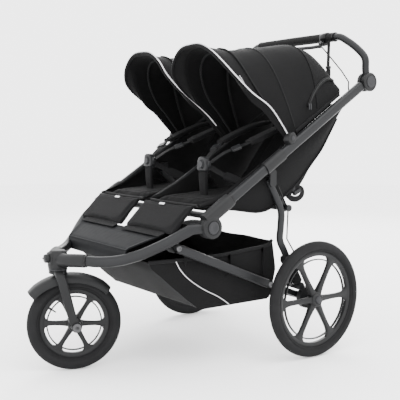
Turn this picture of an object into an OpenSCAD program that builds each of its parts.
// Side-by-side three-wheel jogging stroller.
// +Z up, the stroller faces -Y, its left side is +X, the floor is z = 0.

/* [Wheels] */
// Outer radius of the rear tyres
rear_wheel_r = 200; // [190:1:205]
// Outer radius of the front tyre
front_wheel_r = 152.6; // [148:0.1:155]
// Distance of each rear wheel from the centre line
rear_track_x = 370; // [368:1:372]
// Number of spokes in each wheel
spoke_count = 6; // [5:1:7]

/* [Frame] */
// Distance of the upper side tubes from the centre line
tube_x = 345; // [344:0.5:346]
// Width of an upper side tube
tube_w = 25; // [24:0.5:26]
// Depth of an upper side tube
tube_d = 34; // [32:0.5:35]
// Radius of the curved front tubes
front_tube_r = 16; // [14:0.5:16]
// Radius of the lower side tubes
side_tube_r = 13; // [11:0.5:13]
// Radius of the handlebar tube
bar_r = 13; // [12:0.5:13]

/* [Steering] */
// Angle that the front wheel is turned at rest
steer_angle = -19; // [-19:1:-19]
// Distance of the front axle behind the steering axis
trail = 50; // [46:1:52]

/* [Canopies] */
// Fabric thickness of the canopy shells
canopy_t = 5; // [3:0.5:6]
// Half width of one canopy
canopy_hw = 156; // [150:1:156]

/* [Hidden] */
$fn = 48;
// shift that puts the origin under the middle of the whole stroller
ys = 294;
// pivots as [y, z], before the shift
A = [-428, 478];   // main fold hinge
B = [-170, 604];   // top of the rear legs
C = [-62, 262];    // bottom of the rear legs on the chassis
D = [-515, 414];   // front end of the lower side tubes
G = [-142, 256];   // swing pivot of the rear axle
P = [265, 946];    // handlebar tilt pivot
H = [-100, 754];   // canopy bow pivot
Q = [-62, 585];    // backrest recline pivot
K = [-447, 541];   // leg rest pivot
cl = 0.3;          // gap between parts of different bodies
slope = 0.637;     // rise of the upper tubes per unit of y
function tz(y) = 547 + slope*(y + 370);
tang = atan(slope);

// ---------- helpers ----------
module pair() { children(); mirror([1, 0, 0]) children(); }
module lr(s) { if (s < 0) mirror([1, 0, 0]) children(); else children(); }
// round bar along X between x0 and x1 at [y, z]
module xcyl(p, x0, x1, r) translate([x0, p[0], p[1]]) rotate([0, 90, 0]) cylinder(r = r, h = x1 - x0);
// outline in the YZ plane, extruded along X
module xpoly(x0, x1) translate([x0, 0, 0]) rotate([90, 0, 90]) linear_extrude(x1 - x0) children();
// flat link between two points of the YZ plane, round at both ends
module link2(p, q, r) {
  L = norm(q - p);
  translate(p) circle(r);
  translate(q) circle(r);
  translate(p) rotate(atan2(q[1] - p[1], q[0] - p[0])) translate([0, -r + 0.9]) square([L, 2*r - 1.8]);
}
module rod(p, q, r) {
  v = q - p; L = norm(v);
  translate(p) rotate([0, acos(v[2]/L), atan2(v[1], v[0])]) cylinder(r = r, h = L);
}
// bent tube through points: one ring of n sides at each point, mitred at the bends
function unit(v) = v/norm(v);
function tangent(p, i) = let (m = len(p) - 1)
  unit((i < m ? unit(p[i + 1] - p[i]) : [0, 0, 0]) + (i > 0 ? unit(p[i] - p[i - 1]) : [0, 0, 0]));
module run(pts, r, up = [1, 0, 0], n = 12) {
  m = len(pts);
  rings = [for (i = [0 : m - 1]) let (t = tangent(pts, i), a = unit(cross(t, up)), b = cross(t, a))
    for (j = [0 : n - 1]) pts[i] + r*(a*cos(360*j/n) + b*sin(360*j/n))];
  sides = [for (i = [0 : m - 2]) for (j = [0 : n - 1]) let (j2 = (j + 1) % n) each [
      [i*n + j, (i + 1)*n + j2, i*n + j2], [i*n + j, (i + 1)*n + j, (i + 1)*n + j2]]];
  polyhedron(points = rings, faces = concat([[for (j = [0 : n - 1]) j]], sides, [[for (j = [n - 1 : -1 : 0]) (m - 1)*n + j]]), convexity = 6);
}
// oval bar in a plane of constant x
module oval(w, d) {
  square([w, d - w], center = true);
  translate([0, (d - w)/2]) circle(w/2);
  translate([0, -(d - w)/2]) circle(w/2);
}
module yzbar(x, p, q) {
  v = q - p; L = norm(v);
  translate([x, p[0], p[1]]) rotate([atan2(-v[0], v[1]), 0, 0]) linear_extrude(L) children();
}

// ---------- upper frame ----------
tube_a = [-389, tz(-389)];
tube_b = [232, tz(232)];
module upper_tube() color("#2b2d30") {
  difference() {
    yzbar(tube_x, tube_a, tube_b) oval(tube_w, tube_d);
    yzbar(tube_x, tube_a - [10, 6.37], tube_b + [10, 6.37]) oval(tube_w - 4, tube_d - 4);
  }
  // ear that carries the canopy bow
  difference() {
    xpoly(343.5, 349.5) link2([-97, 742], H, 7);
    yzbar(tube_x, tube_a, tube_b) oval(tube_w - 1, tube_d - 1);
  }
  xcyl(H, 334, 344, 3);
}
module hinge_housing() color("#1d1e20") difference() {
  union() {
    yzbar(tube_x, [-446, tz(-446)], [-352, tz(-352)]) oval(38, 46);
    xpoly(326, 338) circle_at(A, 35);
    xpoly(352, 364) circle_at(A, 35);
  }
  // slot for the front tube's lug
  xcyl(A, 338, 352, 35.4);
  translate([338, A[0] - 60, A[1] - 70]) cube([14, 60, 78]);
  // socket for the upper tube
  yzbar(tube_x, tube_a, [-340, tz(-340)]) oval(tube_w, tube_d);
  xcyl(A, 320, 370, 8);
}
module circle_at(p, r) translate(p) circle(r);
module fold_hinge_pins() color("#3a3c40") pair() {
  xcyl(A, 326, 364, 8);
  xcyl(A, 364, 368, 20);
  xcyl(A, 323, 326, 12);
}
module front_cross_tube() color("#2b2d30") difference() {
  xcyl([-425, 511], -326, 326, 10);
  xcyl([-425, 511], -330, 330, 8);
}
module rear_cross_tube() color("#2b2d30") difference() {
  xcyl([-90, 516], -304.7, 304.7, 11);
  xcyl([-90, 516], -310, 310, 9);
}
rail_a = [-425, 530];
rail_b = [-84, 728];
module centre_rail() color("#2b2d30") difference() {
  union() {
    run([[0, -425, 521], [0, -412, 534], [0, rail_b[0], rail_b[1]]], 8);
    rod([0, -110, 712], [0, -90, 527], 8);
    // pivot boss of the two inner canopy bow legs
    xpoly(-3, 3) link2([-84, 728], H, 7);
    xcyl(H, -16, 16, 3);
  }
  xcyl([-425, 511], -20, 20, 10);
  xcyl([-90, 516], -20, 20, 11);
}
module leg_bracket() color("#1d1e20") {
  difference() {
    union() {
      yzbar(tube_x, [-208, tz(-208)], [-132, tz(-132)]) oval(34, 43);
      xpoly(337.3, 345.3) link2(B, [-170, 637], 14);
      xpoly(304.7, 312.7) link2(B, [-90, 516], 14);
      translate([304.9, -182, 604]) cube([7.6, 22, 34]);
      translate([306, -186, 625]) cube([26, 30, 21]);
      translate([326, -182, 630]) cube([6, 24, 20]);
    }
    yzbar(tube_x, [-260, tz(-260)], [-80, tz(-80)]) oval(tube_w, tube_d);
  }
  xcyl(B, 306, 344, 5);
}
module leg_brackets() pair() leg_bracket();
module handlebar_housing() color("#1d1e20") difference() {
  union() {
    yzbar(tube_x, [196, tz(196)], [P[0], tz(P[0])]) oval(36, 45);
    xpoly(326, 338.3) circle_at(P, 27);
    xpoly(351.7, 364) circle_at(P, 27);
    xcyl(P, 335, 355, 6);
  }
  difference() {
    xcyl(P, 338.3, 351.7, 27.4);
    xcyl(P, 335, 355, 6);
  }
  translate([338.3, P[0] - 42, P[1] + 6]) cube([13.4, 90, 60]);
  yzbar(tube_x, tube_a, tube_b) oval(tube_w, tube_d);
  xcyl(P, 320, 333.5, 9.05);
}
module tilt_button() color("#4a4c50") xcyl(P, 321.5, 330, 9);

// ---------- seats ----------
module seat() color("#18191b") xpoly(24, 300)
  polygon([[-440, 545], [-322, 554], [-150, 566], [-102, 580], [-100, 550], [-135, 524],
           [-160, 512], [-200, 510], [-323, 524], [-410, 528], [-440, 532]]);
module backrest() color("#18191b") xpoly(30, 300) {
  circle_at(Q, 17);
  polygon([[-76, 595], [-45, 582], [178, 851], [172, 872], [150, 876]]);
}
module crotch_strap() color("#202124") {
  translate([153, -334, 554.6]) cube([38, 12, 84]);
  // buckle shell with a pocket for the release button
  difference() {
    translate([146, -340, 638.6]) cube([52, 24, 50]);
    translate([158.95, -340.5, 650.95]) cube([26.1, 10.3, 26.1]);
  }
}
module buckle_button() color("#505257") translate([159, -343, 651]) cube([26, 9, 26]);
module harness() color("#202124") {
  for (x = [88, 256]) {
    run([[172 + (x - 172)*0.35, -300, 694], [x, -190, 742], [x, -30, 796], [x, 66, 802]], 8);
  }
}

// ---------- canopies ----------
// base line along the upper tube, ridge line over the top, as functions of u = 0 front to 1 rear
function cb(u) = let (y = lookup(u, [[0, -104], [0.4, -60], [0.8, 70], [1, 150]])) [y, tz(y) + 27];
function ct(u) = [lookup(u, [[0, -347], [0.2, -262], [0.4, -165], [0.55, -75], [0.7, 14], [0.82, 82], [0.91, 132], [1, 165]]),
                  lookup(u, [[0, 1046], [0.2, 1043], [0.4, 1052], [0.55, 1068], [0.7, 1078], [0.82, 1062], [0.91, 1010], [1, 938]])];
function sgn(v) = v < 0 ? -1 : 1;
function cp(u, v, t) = let (
    n = lookup(u, [[0, 2.8], [1, 2.4]]),
    b = cb(u), q0 = ct(u), L = norm(q0 - b), q = b + (q0 - b)*(L - t)/L,
    sx = sgn(cos(v))*pow(abs(cos(v)), 2/n), h = pow(abs(sin(v)), 2/n),
    fwd = 42*max(0, 1 - u/0.45)*sin(180*pow(h, 1.25)))
  [174 + (canopy_hw - t)*sx, b[0] + (q[0] - b[0])*h - fwd, b[1] + (q[1] - b[1])*h];
// closed shell between the outer and inner surface over u0..u1
module canopy_shell(u0, u1, nu, nv) {
  g = [for (s = [0, 1]) for (i = [0 : nu]) for (j = [0 : nv])
        cp(u0 + (u1 - u0)*i/nu, 180*j/nv, s*canopy_t)];
  M = (nu + 1)*(nv + 1);
  function o(i, j) = i*(nv + 1) + j;
  fo = [for (i = [0 : nu - 1]) for (j = [0 : nv - 1]) each [
        [o(i, j), o(i, j + 1), o(i + 1, j + 1)], [o(i, j), o(i + 1, j + 1), o(i + 1, j)],
        [M + o(i, j), M + o(i + 1, j + 1), M + o(i, j + 1)], [M + o(i, j), M + o(i + 1, j), M + o(i + 1, j + 1)]]];
  fe = [for (i = [0 : nu - 1]) each [
        [o(i, 0), o(i + 1, 0), M + o(i + 1, 0)], [o(i, 0), M + o(i + 1, 0), M + o(i, 0)],
        [o(i, nv), M + o(i + 1, nv), o(i + 1, nv)], [o(i, nv), M + o(i, nv), M + o(i + 1, nv)]]];
  fs = [for (j = [0 : nv - 1]) each [
        [o(0, j), M + o(0, j + 1), o(0, j + 1)], [o(0, j), M + o(0, j), M + o(0, j + 1)],
        [o(nu, j), o(nu, j + 1), M + o(nu, j + 1)], [o(nu, j), M + o(nu, j + 1), M + o(nu, j)]]];
  polyhedron(points = g, faces = concat(fo, fe, fs), convexity = 6);
}
module canopy_rear() color("#161718") canopy_shell(0.402, 1, 10, 20);
module canopy_front() color("#161718") canopy_shell(0.03, 0.398, 7, 20);
module canopy_bow() color("#303236") difference() {
  union() {
    run([[339, H[0], H[1]], [339, -128, 790], [339, -186, 852], [338, -262, 896], [333, -322, 944], [306, -348, 984],
         [262, -361, 1022], [208, -366, 1047], [150, -366, 1050], [96, -366, 1042], [52, -361, 1012],
         [22, -348, 966], [10, -300, 915], [10, -186, 834], [10, H[0], H[1]]], 4, [0, 0.83, 0.55], 10);
    xcyl(H, 334.8, 343, 8);
    xcyl(H, 6, 14, 8);
  }
  xcyl(H, -20, 345, 3.05);
}

// ---------- handlebar ----------
bar_pts = [[345, 257, 990], [345, 253, 1029], [322, 248, 1058], [274, 242, 1093], [224, 240, 1115],
           [0, 240, 1117], [-224, 240, 1115], [-274, 242, 1093], [-322, 248, 1058], [-345, 253, 1029], [-345, 257, 990]];
module handlebar() color("#2b2d30") difference() {
  union() {
    run(bar_pts, bar_r, [0, 1, 0], 16);
    pair() {
      xpoly(338.6, 351.4) link2(P, [257, 990], 13);
      xpoly(338.6, 351.4) circle_at(P, 26.4);
    }
  }
  pair() xcyl(P, 330, 360, 6.05);
}
module handlebar_grip() color("#141516") difference() {
  rod([-205, 240, 1115.2], [205, 240, 1115.2], 16);
  run(bar_pts, bar_r + 0.05, [0, 1, 0], 16);
  // room for the lever mount
  translate([144, 200, 1080]) cube([33, 80, 80]);
}
module brake_lever_mount() color("#1d1e20") difference() {
  union() {
    rod([145, 240, 1115.6], [176, 240, 1115.6], 17.5);
    translate([150, 216, 1086]) cube([22, 26, 22]);
    xpoly(150, 172) link2([224, 1092], [226, 1108], 8);
  }
  run(bar_pts, bar_r + 0.05, [0, 1, 0], 16);
  translate([156, 208, 1078]) cube([10.4, 22, 24]);
  translate([140, 206, 1078]) cube([20, 24, 15]);
}
module brake_lever() color("#2b2d30") difference() {
  union() {
    translate([156.3, 211, 1080]) cube([9.8, 14, 14]);
    run([[160, 216, 1084], [120, 212, 1083], [60, 211, 1084], [8, 212, 1087]], 5.5, [0, 1, 0]);
  }
}
module wrist_strap() color("#202124") {
  translate([184, 224, 1006]) cube([16, 2.5, 90]);
  translate([182, 217, 1000]) cube([20, 16, 12]);
  translate([184, 219, 954]) cube([16, 2.5, 52]);
  translate([184, 229, 954]) cube([16, 2.5, 52]);
  translate([184, 219, 952]) cube([16, 12.5, 3]);
}
module brake_cable() color("#101112") {
  run([[162, 204, 1096], [172, 196, 1090], [200, 194, 1068], [240, 196, 1030], [290, 194, 985], [330, 188, 945], [339, 178, 929], [345, 173, 915.5]], 2.5, [0, 1, 0], 8);
  run([[331, -138, 592], [331, -92, 512], [331, -96, 412], [331, -68, 372], [331, -40, 330], [331, -6, 268], [331, 0, 238.5]], 2.5, [1, 0, 0], 8);
}

// ---------- front frame ----------
fpts = [[102, -735, 369], [140, -702, 368], [186, -657, 375], [232, -612, 394], [276, -567, 422],
        [296, -543, 438], [312, -520, 454], [323, -500, 466], [329, -485, 474]];
module front_tube() color("#2b2d30") {
  difference() {
    run(fpts, front_tube_r, [0, 0, 1], 16);
    xcyl(A, 330, 360, 36);
  }
  // lug of the main fold hinge
  difference() {
    xpoly(338.3, 351.7) circle_at(A, 34.8);
    xcyl(A, 330, 360, 8.05);
  }
  xpoly(338.3, 343) link2([-462, 476], [-482, 474], 12);
  rod([334, -485, 474], [341, -468, 476], 6);
  // bracket that stands beside the lower side tube
  difference() {
    xpoly(271, 277.5) { link2(D, [-560, 424], 11); }
    run(fpts, front_tube_r - 1, [0, 0, 1], 16);
  }
}
module nose_casting() color("#1d1e20") difference() {
  union() {
    translate([0, -780, 330]) cylinder(r = 31, h = 65);
    translate([0, -780, 338]) cylinder(r = 34, h = 44);
    pair() {
      translate([102, -735, 369]) sphere(r = 21.5);
      rod([102, -735, 369], [0, -780, 364], 20);
      rod([102, -735, 369], [118, -721.1, 368.6], 19.5);
    }
    translate([-19, -812, 350]) cube([38, 30, 42]);
  }
  translate([0, -780, 329]) cylinder(r = 9.05, h = 57);
  pair() rod([102, -735, 369], [140, -702, 368], front_tube_r + 0.02);
  translate([0, -790, 371]) rotate([90, 0, 0]) cylinder(r = 6.05, h = 40);
}
module swivel_lock_knob() color("#3a3c40") {
  translate([0, -800, 371]) rotate([90, 0, 0]) cylinder(r = 6, h = 15);
  translate([0, -814.4, 371]) rotate([90, 0, 0]) cylinder(r = 14, h = 8);
  translate([-4, -829.5, 357.5]) cube([8, 8, 27]);
}
module footrest_tray() color("#1d1e20") difference() {
  intersection() {
    xpoly(-262, 262) polygon([[-542, 452], [-636, 410], [-643, 402], [-646, 366], [-640, 366], [-637, 396], [-630, 401], [-546, 441]]);
    translate([0, 0, 300]) linear_extrude(200) polygon([[-262, -530], [262, -530], [250, -560], [198, -650], [-198, -650], [-250, -560]]);
  }
  pair() run(fpts, front_tube_r + 0.3, [0, 0, 1], 16);
}
module leg_rest() color("#18191b") intersection() {
  xpoly(24, 300) polygon([[-452, 536], [-461, 543], [-541, 466], [-538, 458], [-530, 455]]);
  translate([0, 0, 420]) linear_extrude(160) polygon([[20, -440], [305, -440], [305, -496], [292, -516], [276, -532], [270, -550], [20, -550]]);
}

// ---------- front wheel ----------
module steer() translate([0, -780, 0]) rotate([0, 0, steer_angle]) children();
wz = front_wheel_r;
module front_fork() color("#1d1e20") steer() difference() {
  union() {
    translate([0, 0, 318]) cylinder(r = 9, h = 66);
    translate([0, 0, 320]) cylinder(r = 29, h = 9.6);
    run([[0, 0, 330 - 6], [44, 4, 318], [54, 12, 284], [55, 32, 214], [53, trail, wz]], 10, [0, 1, 0]);
    xcyl([trail, wz], 42, 64, 17);
  }
  // flat top and underside of the crown
  translate([-40, -40, 329.7]) difference() { cube([120, 80, 20]); translate([40, 40, -1]) cylinder(r = 9, h = 80); }
  translate([-33, -33, 300]) cube([66, 66, 19.7]);
  xcyl([trail, wz], 30, 70, 6.05);
}
module front_fender() color("#1d1e20") steer() {
  translate([0, 38, 119]) rotate([90, 0, 90]) rotate([0, 0, 49]) rotate_extrude(angle = 84, $fn = 72)
    polygon([[197, -27], [197, 27], [190, 33], [180, 35], [180, 32], [188, 30.5], [193.5, 25.5], [193.5, -25.5], [188, -30.5], [180, -32], [180, -35], [190, -33]]);
  difference() {
    translate([-18, -14, 303]) cube([36, 28, 16.7]);
    translate([0, 38, 119]) rotate([90, 0, 90]) translate([0, 0, -40]) cylinder(r = 196, h = 80, $fn = 72);
  }
}
module front_axle() color("#55585c") steer() {
  xcyl([trail, wz], -34, 66, 6);
  xcyl([trail, wz], 64.4, 70, 14);
  xcyl([trail, wz], -40, -34, 11);
}
module rim(r0, r1, w, hub_r, hub0, hub1, bore, sp_w0, sp_w1) {
  difference() {
    union() {
      rotate_extrude($fn = 96) polygon([[r0, -w*0.75], [r1 - 4, -w], [r1, -w], [r1, w], [r1 - 4, w], [r0, w*0.75]]);
      translate([0, 0, hub0]) cylinder(r = hub_r, h = hub1 - hub0);
      for (i = [0 : spoke_count - 1]) rotate(90 + 360*i/spoke_count) {
        translate([0, 0, -5]) linear_extrude(10)
          polygon([[hub_r - 4, -sp_w0/2], [r0*0.8, -sp_w0*0.42], [r0 + 3, -sp_w1/2], [r0 + 3, sp_w1/2], [r0*0.8, sp_w0*0.42], [hub_r - 4, sp_w0/2]]);
      }
    }
    translate([0, 0, hub0 - 1]) cylinder(r = bore, h = hub1 - hub0 + 2);
  }
}
module front_rim() color("#1a1b1d") steer() translate([0, trail, wz]) rotate([0, 90, 0])
  rim(98, wz - 42, 15, 24, -33, 41, 6.05, 15, 30);
module tyre(R, s) rotate_extrude($fn = 96) translate([R - s, 0]) circle(s);
module front_tyre() color("#151617") steer() translate([0, trail, wz]) rotate([0, 90, 0]) tyre(wz, 21);

// ---------- rear frame ----------
module rear_leg() color("#2b2d30") {
  difference() {
    union() {
      run([[325, B[0], B[1]], [325, -112, 504], [325, -122, 410], [325, -98, 366], [325, -84, 330]], 11);
      xcyl(B, 313, 337, 14);
      xcyl([-98, 366], 305.3, 342, 13);
      xpoly(305.3, 310.5) link2([-98, 366], C, 11);
    }
    xcyl(B, 300, 350, 5.05);
    xcyl(C, 300, 312, 6.05);
  }
}
module shock() color("#101112") {
  rod([328, -80, 322], [330, -38.5, 249.2], 9);
  for (i = [0 : 4]) let (a = i/4)
    rod([330, -78 + 33*a, 317 - 56*a], [330, -74.6 + 33*a, 311.2 - 56*a], 17);
}
module shock_absorbers() pair() shock();
module side_tube() color("#2b2d30") {
  difference() {
    union() {
      rod([292, D[0], D[1]], [292, G[0] - 14, G[1] + 5.9], side_tube_r - 0.4);
      xcyl(D, 279, 305, 14);
      // rear casting: clevis for the axle arm
      xpoly(278.7, 305) link2([-170, 267], [-158, 262.5], 14);
      xpoly(278.7, 284.7) link2([-166, 266], G, 12);
      // carrier of the rear leg pin
      xpoly(299.3, 305) link2(G, C, 11);
      xpoly(299.4, 304.9) link2([-166, 266], G, 12);
    }
    xcyl(G, 284.7, 299.3, 15);
    translate([284.7, G[0], G[1] - 30]) cube([14.6, 60, 60]);
  }
  xcyl(G, 280, 304, 6);
  xcyl(C, 300, 312, 6);
}
module rear_axle() color("#2b2d30") {
  difference() {
    union() {
      xcyl([0, rear_wheel_r], -318, 318, 12);
      pair() {
        xpoly(285, 299) { link2(G, [0, rear_wheel_r], 11); }
        xcyl([-32, 238], 285, 344, 8);
        xcyl([0, rear_wheel_r], 318, 388, 8);
      }
    }
    pair() xcyl(G, 280, 310, 6.05);
    xcyl([0, rear_wheel_r], -270, 270, 9.5);
  }
}
module brake_drums() color("#141516") pair() difference() {
  union() {
    xcyl([0, rear_wheel_r], 318.4, 336, 38);
    translate([318.4, -12, rear_wheel_r + 30]) cube([12, 8, 6]);
  }
  xcyl([0, rear_wheel_r], 310, 340, 8);
}
module rear_wheel_at() translate([rear_track_x, 0, rear_wheel_r]) rotate([0, 90, 0]) children();
module rear_rim() color("#1a1b1d") rear_wheel_at() {
  rim(150, rear_wheel_r - 38, 14, 26, -32, 18, 8.05, 17, 34);
  translate([0, 0, 18.3]) cylinder(r1 = 26, r2 = 20, h = 6);
  difference() {
    translate([0, 0, 17]) cylinder(r = 26, h = 1.4);
    translate([0, 0, 16]) cylinder(r = 8.05, h = 2.3);
  }
}
module rear_tyre() color("#151617") rear_wheel_at() tyre(rear_wheel_r, 19);
module parking_brake_pedal() color("#3a3c40") difference() {
  union() {
    xcyl([0, rear_wheel_r], -22, 22, 18);
    translate([-38, 12, 203]) cube([76, 52, 7]);
  }
  xcyl([0, rear_wheel_r], -30, 30, 12.05);
}
module basket() color("#18191b") difference() {
  intersection() {
    xpoly(-276, 276) polygon([[-588, 366], [-335, 368], [-131, 386], [-113, 405], [-96, 300], [-120, 210], [-133, 200], [-400, 200], [-575, 345]]);
    translate([0, 0, 150]) linear_extrude(300) polygon([[-276, -60], [276, -60], [276, -400], [240, -600], [-240, -600], [-276, -400]]);
  }
  intersection() {
    xpoly(-272, 272) polygon([[-583, 420], [-118, 420], [-101, 300], [-124, 213], [-134, 204], [-398, 204], [-570, 347]]);
    translate([0, 0, 150]) linear_extrude(300) polygon([[-272, -60], [272, -60], [272, -400], [236, -600], [-236, -600], [-272, -400]]);
  }
}

module put() translate([0, ys, 0]) children();
put() upper_tube();  // upper_tube_left
put() lr(-1) upper_tube();  // upper_tube_right
put() hinge_housing();  // hinge_housing_left
put() lr(-1) hinge_housing();  // hinge_housing_right
put() fold_hinge_pins();
put() front_cross_tube();
put() rear_cross_tube();
put() centre_rail();
put() leg_brackets();
put() handlebar_housing();  // handlebar_housing_left
put() lr(-1) handlebar_housing();  // handlebar_housing_right
put() seat();  // seat_left
put() lr(-1) seat();  // seat_right
put() crotch_strap();  // crotch_strap_left
put() lr(-1) crotch_strap();  // crotch_strap_right
put() canopy_rear();  // canopy_rear_left
put() lr(-1) canopy_rear();  // canopy_rear_right
put() canopy_front();  // canopy_front_left
put() lr(-1) canopy_front();  // canopy_front_right
put() brake_cable();
put() backrest();  // backrest_left
put() lr(-1) backrest();  // backrest_right
put() harness();  // harness_left
put() lr(-1) harness();  // harness_right
put() canopy_bow();  // canopy_bow_left
put() lr(-1) canopy_bow();  // canopy_bow_right
put() handlebar();
put() handlebar_grip();
put() brake_lever_mount();
put() brake_lever();
put() wrist_strap();
put() tilt_button();  // tilt_button_left
put() lr(-1) tilt_button();  // tilt_button_right
put() buckle_button();  // buckle_button_left
put() lr(-1) buckle_button();  // buckle_button_right
put() front_tube();  // front_tube_left
put() lr(-1) front_tube();  // front_tube_right
put() nose_casting();
put() swivel_lock_knob();
put() footrest_tray();
put() leg_rest();  // leg_rest_left
put() lr(-1) leg_rest();  // leg_rest_right
put() front_fork();
put() front_fender();
put() front_axle();
put() front_rim();
put() front_tyre();
put() rear_leg();  // rear_leg_left
put() lr(-1) rear_leg();  // rear_leg_right
put() side_tube();  // side_tube_left
put() lr(-1) side_tube();  // side_tube_right
put() basket();
put() rear_axle();
put() brake_drums();
put() shock_absorbers();
put() rear_rim();  // rear_rim_left
put() lr(-1) rear_rim();  // rear_rim_right
put() rear_tyre();  // rear_tyre_left
put() lr(-1) rear_tyre();  // rear_tyre_right
put() parking_brake_pedal();
